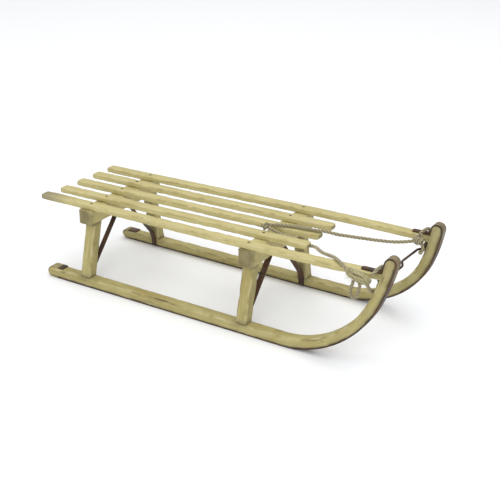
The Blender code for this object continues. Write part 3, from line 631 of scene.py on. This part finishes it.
def boardSection(halfA, halfB, round):
    # a rounded rectangle: points (a, b) and how close each is to a corner
    section = []
    for signA, signB, start in ((1, 1, 0), (-1, 1, pi / 2), (-1, -1, pi), (1, -1, 1.5 * pi)):
        for step in range(4):
            turn = start + pi / 2 * step / 3
            a = signA * (halfA - round) + cos(turn) * round
            b = signB * (halfB - round) + sin(turn) * round
            section.append((a, b, 1.0 if step in (1, 2) else 0.75))
        along = (-1, 0) if start == 0 else (0, -1) if start == pi / 2 else (1, 0) if start == pi else (0, 1)
        lastA, lastB, mark = section[-1]
        reach = 2 * ((halfA if along[0] else halfB) - round)
        for share in (0.12, 0.37, 0.63, 0.88):
            section.append((lastA + along[0] * reach * share, lastB + along[1] * reach * share, 0.35 if share in (0.12, 0.88) else 0.0))
    return section


def weather(body, seed, broad=0.0004, chip=0.0016):
    # wear takes wood away only: a slow waviness all over and chips along the edges
    body.normal_update()
    wearLayer = body.verts.layers.float_vector["wearSheenMap"]
    moves = []
    for vert in body.verts:
        spot = vert.co + Vector((seed * 1.3, seed * 0.7, seed * 2.1))
        wave = 0.5 + 0.5 * noise.noise(spot * 22)
        bite = max(0.0, noise.noise(spot * 62) - 0.15)
        edge = vert[wearLayer][0]
        moves.append(vert.normal * -(broad * wave + chip * bite * edge * 1.6 + 0.0003 * edge))
    for vert, move in zip(body.verts, moves):
        vert.co += move


# Runners. The sole line is flat, curls up in a round bend and straightens towards the horn.

runnerShape = {
    "soleHalf": 0.1775, "width": 0.0315, "depth": 0.0266, "hornDepth": 0.0285, "low": 0.0033,
    "curlStart": 0.249, "curlRadius": 0.26, "curlSweep": radians(70),
    "hornRadius": 0.56, "hornSweep": radians(9.5), "tip": 0.013, "rear": -0.482, "rearRound": 0.014,
    "lean": 0.144, "edge": 0.0034,
}
frameAhead = {-1: -0.0055, 1: 0.006}
barAt = {"rear": -0.360, "front": 0.129}


def solePoint(s):
    r = runnerShape
    bend = r["curlRadius"] * r["curlSweep"]
    if s <= 0:
        return r["curlStart"] + s, 0.0, 0.0
    if s <= bend:
        angle = s / r["curlRadius"]
        return r["curlStart"] + r["curlRadius"] * sin(angle), r["curlRadius"] * (1 - cos(angle)), angle
    angle = r["curlSweep"] + (s - bend) / r["hornRadius"]
    x = r["curlStart"] + r["curlRadius"] * sin(r["curlSweep"])
    x += r["hornRadius"] * (sin(angle) - sin(r["curlSweep"]))
    z = r["curlRadius"] * (1 - cos(r["curlSweep"]))
    z += r["hornRadius"] * (cos(r["curlSweep"]) - cos(angle))
    return x, z, angle


def makeRunner(word, side):
    r = runnerShape
    bend = r["curlRadius"] * r["curlSweep"]
    end = bend + r["hornRadius"] * r["hornSweep"]
    stations = []
    first = r["rear"] + r["rearRound"] - r["curlStart"]
    for step in range(8):
        turn = pi / 2 * (step + 0.35) / 8
        stations.append((first - r["rearRound"] * cos(turn), sin(turn)))
    count = 150
    for step in range(count + 1):
        stations.append((first + (end - first) * step / count, 1.0))
    for step in range(1, 9):
        turn = pi / 2 * (step - 0.3) / 8
        stations.append((end + r["tip"] * sin(turn), cos(turn)))
    rings = []
    for s, fill in stations:
        share = min(max(s / bend, 0), 1)
        depth = r["depth"] + (r["hornDepth"] - r["depth"]) * share
        half = (depth - r["low"]) / 2
        middle = r["low"] + half
        x, z, angle = solePoint(s)
        ring = []
        tight = max(half * fill, 0.0006)
        for a, b, edge in boardSection(r["width"] / 2, tight, min(r["edge"], tight * 0.9)):
            height = middle + b
            px, pz = x - sin(angle) * height, z + cos(angle) * height
            py = side * (r["soleHalf"] - r["width"] / 2) + a - side * r["lean"] * pz
            endMark = max(0.0, 1 - fill * 1.4)
            hornWear = min(max((s - end + 0.10) / 0.10, 0), 1) * 0.35
            onTop = 0.5 if b > 0 else 0.12
            joint = max(max(0.0, 1 - abs(x - place) / 0.030) for place in barAt.values())
            # darker towards the sole: grime, and a painted contact shadow along the shoe
            soleGrimeAndShadow = min(max(-b / half - 0.45, 0) * 2.0, 0.9)
            marks = {
                "grainPlace": (s + 0.9, a * side, b + share * 0.002),
                "wearSheenMap": (max(edge, hornWear), endMark * 0.6, hornWear * 0.6),
                "dirtShadeMap": (max(joint * onTop, soleGrimeAndShadow, hornWear * 0.5), 1.0 if edge > 0.5 and b > 0 else 0.6, 0),
            }
            ring.append(((px + frameAhead[side], py, pz), marks))
        rings.append(ring)
    body = loftRings(rings, woodMarks)
    weather(body, 3 + side)
    finish = timber("runnerTimber_" + word, frameLook, [], 1.0 + side * 0.4)
    return finishPiece("runner_" + word + "_timber", body, finish, ["runner_" + word], 50)


# Legs and cross-bars.

barShape = {
    "middle": {"rear": -0.3645, "front": 0.1305}, "depth": {"rear": 0.044, "front": 0.041},
    "half": {"rear": 0.1590, "front": 0.1590}, "low": {"rear": 0.1755, "front": 0.1765},
    "rounding": {"rear": 0.012, "front": 0.0055}, "edge": 0.0026,
}
legShape = {"depth": 0.033, "thick": 0.030, "lean": 0.226, "edge": 0.0038}
seatShape = {"height": 0.2323, "rise": 0.017, "thick": 0.0145, "width": 0.031}


def seatTop(x):
    return seatShape["height"] + seatShape["rise"] * x


def legCentre(side, z):
    r = runnerShape
    outer = r["soleHalf"] - r["lean"] * r["depth"] - legShape["lean"] * (z - r["depth"])
    return side * (outer - 0.0005 - legShape["thick"] / 2)


def makeLeg(which, word, side):
    low, high = runnerShape["depth"] - 0.0012, barShape["low"][which] + 0.0012
    rings = []
    count = 22
    seed = {"rear": 11, "front": 17}[which] + side * 2
    for step in range(count + 1):
        z = low + (high - low) * step / count
        middle = legCentre(side, z)
        swell = 1 - 0.02 * sin(pi * step / count)
        ring = []
        for a, b, edge in boardSection(legShape["depth"] / 2 * swell, legShape["thick"] / 2, legShape["edge"]):
            foot = max(0.0, 1 - (z - low) / 0.018) * 0.35
            # the inner face is darkened as painted shade
            innerFaceShade = 0.35 if b * side < -0.5 * legShape["thick"] + 0.001 else 0.0
            darkening = max(0.9 - (z - low) / 0.010, 0.9 - (high - z) / 0.014, innerFaceShade, 0.0)
            marks = {"grainPlace": (z + seed, a, b), "wearSheenMap": (edge, 0.0, foot), "dirtShadeMap": (darkening, 0.5, 0)}
            ring.append(((barAt[which] + a, middle + b, z), marks))
        rings.append(ring)
    body = loftRings(rings, woodMarks)
    weather(body, seed, 0.0005)
    node = "leg_" + which + "_" + word
    finish = timber("legTimber_" + which + "_" + word, frameLook, [], seed * 0.37)
    return finishPiece(node + "_timber", body, finish, [node], 50)


def makeBar(which):
    x, half = barShape["middle"][which], barShape["half"][which]
    turn = barShape["rounding"][which]
    corner = []
    for step in range(7):
        angle = pi / 2 * step / 6
        corner.append((half - turn * (1 - sin(angle)), turn * (1 - cos(angle))))
    line = [(-y, inset) for y, inset in reversed(corner)]
    line += [((half - turn - 0.002) * (step / 20 - 1), 0.0) for step in range(41)]
    line += corner
    rings = []
    for y, inset in line:
        halfX = barShape["depth"][which] / 2 - inset
        top = seatTop(x) - seatShape["thick"] - 0.0002
        halfZ = (top - barShape["low"][which]) / 2
        middle = barShape["low"][which] + halfZ
        endMark = min(max((abs(y) - half + 0.004) / 0.004, 0), 1)
        ring = []
        for a, b, edge in boardSection(halfX, halfZ, barShape["edge"]):
            rise = seatShape["rise"] * a if b > 0 else 0.0
            darkening = 0.55 * min(max((abs(y) - half + turn + 0.006) / turn, 0), 1)
            marks = {
                "grainPlace": (y + 3.0, a, b), "wearSheenMap": (edge, endMark * 0.8, 0.0),
                "dirtShadeMap": (darkening, 0, 0),
            }
            ring.append(((x + a, y, middle + b + rise), marks))
        rings.append(ring)
    body = loftRings(rings, woodMarks)
    weather(body, 23 if which == "rear" else 29, 0.0005)
    # the bars take the paler seat colours: painted light that brightens their tops between the slats
    finish = timber("barTimber_" + which, seatLook, [], 2.2 if which == "rear" else 4.1)
    node = "crossbar_" + which
    return finishPiece(node + "_timber", body, finish, [node], 50)


# Seat slats.

slatEnds = {
    "1": (-0.5245, None), "2": (-0.512, 0.2570), "3": (-0.510, 0.2525),
    "4": (-0.509, 0.2540), "5": (-0.507, None),
}
slatMiddle = {"2": -0.0677, "3": 0.0, "4": 0.0677}
outerSlatY = [(-0.53, 0.1315), (-0.36, 0.1320), (0.129, 0.1385), (0.29, 0.1375), (0.50, 0.1310)]


def smoothValue(stations, x):
    for number in range(len(stations) - 1):
        if x <= stations[number + 1][0] or number == len(stations) - 2:
            break
    before = stations[max(number - 1, 0)]
    start, end = stations[number], stations[number + 1]
    after = stations[min(number + 2, len(stations) - 1)]
    gap = end[0] - start[0]
    t = (x - start[0]) / gap
    slopeIn = (end[1] - before[1]) / (end[0] - before[0]) * gap
    slopeOut = (after[1] - start[1]) / (after[0] - start[0]) * gap
    value = (2 * t**3 - 3 * t**2 + 1) * start[1] + (t**3 - 2 * t**2 + t) * slopeIn
    return value + (3 * t**2 - 2 * t**3) * end[1] + (t**3 - t**2) * slopeOut


def slatY(number, x):
    if number in slatMiddle:
        return slatMiddle[number]
    return (-1 if number == "1" else 1) * smoothValue(outerSlatY, x)


def makeSlat(number):
    rear, front = slatEnds[number]
    if front is None:
        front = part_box("slat_" + number)[1][0]
    ends = [(0.0, 0.0026), (0.0007, 0.0012), (0.002, 0.0004), (0.0045, 0.0)]
    count = 110
    line = [(rear + gap, inset) for gap, inset in ends]
    reach = front - rear
    line += [(rear + reach * step / count, 0.0) for step in range(2, count - 1)]
    line += [(front - gap, inset) for gap, inset in reversed(ends)]
    seed = 40 + int(number) * 3
    rings = []
    for x, inset in line:
        outer = number in "15"
        narrow = max(0.0, 1 - min(x - rear, front - x) / 0.006) * (0.0035 if not outer or x < 0 else 0.001)
        y, z = slatY(number, x), seatTop(x) - seatShape["thick"] / 2
        endMark = min(max((0.0012 - min(x - rear, front - x)) / 0.0012, 0), 1)
        tired = 0.0
        if number == "1":
            tired = min(max(0.0, 1.25 - (x - rear) / 0.075), 1.0)
        ring = []
        halfY, halfZ = seatShape["width"] / 2 - narrow - inset, seatShape["thick"] / 2 - inset - narrow * 0.3
        for a, b, edge in boardSection(halfY, halfZ, 0.0026):
            # the far top edge is greyed as a painted sky reflection
            far = 0.3 if (number != "1" and a > 0.009 and b > 0.004) else 0.0
            under = 0.25 if b < -0.006 else 0.0
            joint = max(max(0.0, 1 - abs(x - place) / 0.032) for place in barAt.values())
            below = 0.35 if b < -0.006 else 0.0
            # darker towards the outer slats' front ends: dirt, and a painted shadow where they meet the horns
            horn = max(0.0, 1 - (front - x) / 0.03) * 0.6 if outer else 0.0
            marks = {
                "grainPlace": (x + int(number) * 1.9, a, b),
                "wearSheenMap": (edge, endMark, max(tired, far, under)),
                "dirtShadeMap": (max(joint * below, horn, tired * 0.4), 0.12 + tired, 0),
            }
            ring.append(((x, y + a, z + b), marks))
        rings.append(ring)
    body = loftRings(rings, woodMarks)
    weather(body, seed, 0.0004, 0.0030 if number == "1" else 0.0018)
    # a dark ring round each screw head: iron stain, and painted shade of its countersink
    stainsAndShade = [((x + int(number) * 1.9, 0.0, seatShape["thick"] / 2), 0.006, 0.75) for x in barAt.values()]
    finish = timber("slatTimber_" + number, seatLook, stainsAndShade, seed * 0.21)
    return finishPiece("slat_" + number + "_timber", body, finish, ["slat_" + number], 50)


for word, side in sides.items():
    makeRunner(word, side)
    for which in barAt:
        makeLeg(which, word, side)
for which in barAt:
    makeBar(which)
for number in "12345":
    makeSlat(number)
print("timber made")


# Irons. The CAD shapes stay, with rust on them.

ironLook = {
    "dark": (0.040, 0.024, 0.017),
    "rust": (0.115, 0.056, 0.028),
    "bright": (0.19, 0.13, 0.085),
    "metallic": 0.25,
}
shoeLook = {
    "dark": (0.060, 0.040, 0.026),
    "rust": (0.15, 0.085, 0.048),
    "bright": (0.26, 0.20, 0.14),
    "metallic": 0.35,
    "paint": (0.37, 0.31, 0.15),
    "hornPaint": (0.245, 0.195, 0.105),
}


def rustyIron(name, look, seed=0.0, shoe=None):
    # shoe is the side of a shoe and where its object stands
    material, tree, shader = newMaterial(name)
    place = addNode(tree, "TexCoord").outputs["Object"]
    shift = (seed, seed * 0.6, -seed)
    broad = noiseOf(tree, place, 26.0, 4.0, 0.6, (1, 1, 1), shift)
    fine = noiseOf(tree, place, 210.0, 4.0, 0.65, (1, 1, 1), shift)
    rub = noiseOf(tree, place, 70.0, 3.0, 0.6, (0.5, 1, 1), shift)
    colour = mixColour(tree, span(tree, broad, 0.40, 0.66), look["dark"], look["rust"])
    colour = mixColour(tree, span(tree, fine, 0.52, 0.70, 0.0, 0.6), colour, look["dark"])
    worn = span(tree, rub, 0.60, 0.72, 0.0, 0.5)
    colour = mixColour(tree, worn, colour, look["bright"])
    metal = look["metallic"]
    if shoe:
        # painted with the runner at its rear end and on the horn, worn off in between
        spot = addNode(tree, "SeparateXYZ", {0: place})
        ragged = calc(tree, "MULTIPLY", calc(tree, "SUBTRACT", fine, 0.5), 0.010)
        rear = span(tree, calc(tree, "ADD", spot.outputs["X"], ragged), -0.455, -0.459)
        horn = span(tree, calc(tree, "ADD", spot.outputs["Z"], ragged), 0.205, 0.245, 0.0, 0.85)
        horn = calc(tree, "MULTIPLY", horn, span(tree, rub, 0.66, 0.50, 0.35, 1.0))
        side, stands = shoe
        lean = side * runnerShape["lean"]
        ground = side * (runnerShape["soleHalf"] - runnerShape["width"] / 2) - stands.y - lean * stands.z
        slide = calc(tree, "MULTIPLY", spot.outputs["Z"], lean)
        offMiddle = calc(tree, "SUBTRACT", calc(tree, "ADD", spot.outputs["Y"], slide), ground)
        flank = span(tree, calc(tree, "ABSOLUTE", offMiddle), 0.0085, 0.0112)
        horn = calc(tree, "MULTIPLY", horn, calc(tree, "SUBTRACT", 1.0, flank))
        colour = mixColour(tree, horn, colour, look["hornPaint"])
        paint = mixColour(tree, span(tree, broad, 0.35, 0.65), look["paint"], tuple(c * 0.7 for c in look["paint"]))
        colour = mixColour(tree, calc(tree, "MULTIPLY", rear, span(tree, fine, 0.72, 0.60)), colour, paint)
        metal = calc(tree, "MULTIPLY", calc(tree, "SUBTRACT", 1.0, calc(tree, "MAXIMUM", rear, horn)), metal)
        tree.links.new(metal, shader.inputs["Metallic"])
    else:
        shader.inputs["Metallic"].default_value = metal
    tree.links.new(colour, shader.inputs["Base Color"])
    tree.links.new(span(tree, broad, 0.35, 0.7, 0.5, 0.85), shader.inputs["Roughness"])
    height = calc(tree, "ADD", fine, calc(tree, "MULTIPLY", broad, 0.8))
    bump = addNode(tree, "Bump", {"Height": height, "Strength": 0.6, "Distance": 0.0008})
    tree.links.new(bump.outputs[0], shader.inputs["Normal"])
    return material


iron = rustyIron("rustyIron", ironLook)
screwIron = rustyIron("screwIron", dict(ironLook, rust=(0.10, 0.06, 0.035)), 7.0)


def cadPiece(node):
    return next(item for item in bpy.context.scene.objects if item.get("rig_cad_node") == node)


def dress(node, material):
    for holder in cadPiece(node).material_slots:
        holder.material = material


for node in frame["nodes"]:
    if node.startswith(("arch_", "strap_")) or node == "cross_rod":
        dress(node, iron)
    elif node.startswith("shoe_"):
        side = sides[node.split("_")[1]]
        stands = cadPiece(node).matrix_world.translation
        print("shoe stands", node, stands)
        dress(node, rustyIron("shoeIron_" + node, shoeLook, 3.0 + side, (side, stands)))
    elif node.startswith(("screw_", "nail_")):
        dress(node, screwIron)


# Screws. Slotted heads that stand a hair proud of the worn wood.

screwShape = {"radius": 0.0036, "proud": 0.0002, "dome": 0.0005, "slotWide": 0.0009, "slotDeep": 0.0008}


def screwHead(middle, turn, shape):
    body = bmesh.new()
    bmesh.ops.create_cone(
        body, cap_ends=True, segments=20, radius1=shape["radius"] * 0.55, radius2=shape["radius"], depth=0.004
    )
    bmesh.ops.translate(body, verts=body.verts, vec=(0, 0, -0.002))
    top = max(body.faces, key=lambda face: face.calc_center_median().z)
    rim = bmesh.ops.inset_individual(body, faces=[top], thickness=0.0006, depth=shape["dome"])
    half = shape["slotWide"] / 2
    for side in (-half, half):
        geom = body.verts[:] + body.edges[:] + body.faces[:]
        bmesh.ops.bisect_plane(body, geom=geom, plane_co=(0, side, 0), plane_no=(0, 1, 0))
    slot = [f for f in body.faces if f.normal.z > 0.9 and abs(f.calc_center_median().y) < half * 0.5 and abs(f.calc_center_median().x) < shape["radius"] * 0.5]
    made = bmesh.ops.extrude_face_region(body, geom=slot)["geom"]
    bmesh.ops.delete(body, geom=slot, context="FACES_ONLY")
    moved = [item for item in made if isinstance(item, bmesh.types.BMVert)]
    bmesh.ops.translate(body, verts=moved, vec=(0, 0, -shape["slotDeep"]))
    bmesh.ops.rotate(body, verts=body.verts, cent=(0, 0, 0), matrix=Matrix.Rotation(turn, 3, "Z"))
    bmesh.ops.translate(body, verts=body.verts, vec=middle)
    return body


screwDraw = Random(5)
for number in "12345":
    for which, x in barAt.items():
        node = "screw_slat_" + number + "_" + which
        low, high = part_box(node)
        middle = Vector(((low[0] + high[0]) / 2, (low[1] + high[1]) / 2, seatTop(x) - 0.0004))
        body = screwHead(middle, screwDraw.uniform(0, pi), screwShape)
        finishPiece(node + "_head", body, screwIron, [node], 30)
print("irons and screws made")


# Floor and light.

floorMesh = bpy.data.meshes.new("floor")
floorBody = bmesh.new()
bmesh.ops.create_grid(floorBody, x_segments=1, y_segments=1, size=20)
floorBody.to_mesh(floorMesh)
floorBody.free()
floor = bpy.data.objects.new("floor", floorMesh)
bpy.context.collection.objects.link(floor)
floorMaterial, floorTree, floorShader = newMaterial("floor")
floorShader.inputs["Base Color"].default_value = (0.89, 0.90, 0.92, 1)
floorShader.inputs["Roughness"].default_value = 0.9
floorMesh.materials.append(floorMaterial)

lights = {
    "above": {"place": (0.0, 0.6, 6.0), "aim": (0, 0, 0.1), "size": 12.0, "power": 640},
    "front": {"place": (0.8, -3.6, 2.3), "aim": (0, 0, 0.1), "size": 2.2, "power": 62},
}
for name, light in lights.items():
    data = bpy.data.lights.new(name, "AREA")
    data.shape = "SQUARE"
    data.size = light["size"]
    data.energy = light["power"]
    lamp = bpy.data.objects.new(name, data)
    bpy.context.collection.objects.link(lamp)
    lamp.location = light["place"]
    aim = Vector(light["aim"]) - Vector(light["place"])
    lamp.rotation_euler = aim.to_track_quat("-Z", "Y").to_euler()

world = bpy.data.worlds.new("studio")
world.use_nodes = True
world.node_tree.nodes["Background"].inputs["Color"].default_value = (1, 1, 1, 1)
world.node_tree.nodes["Background"].inputs["Strength"].default_value = 0.36
bpy.context.scene.world = world
bpy.context.scene.view_settings.view_transform = "Standard"
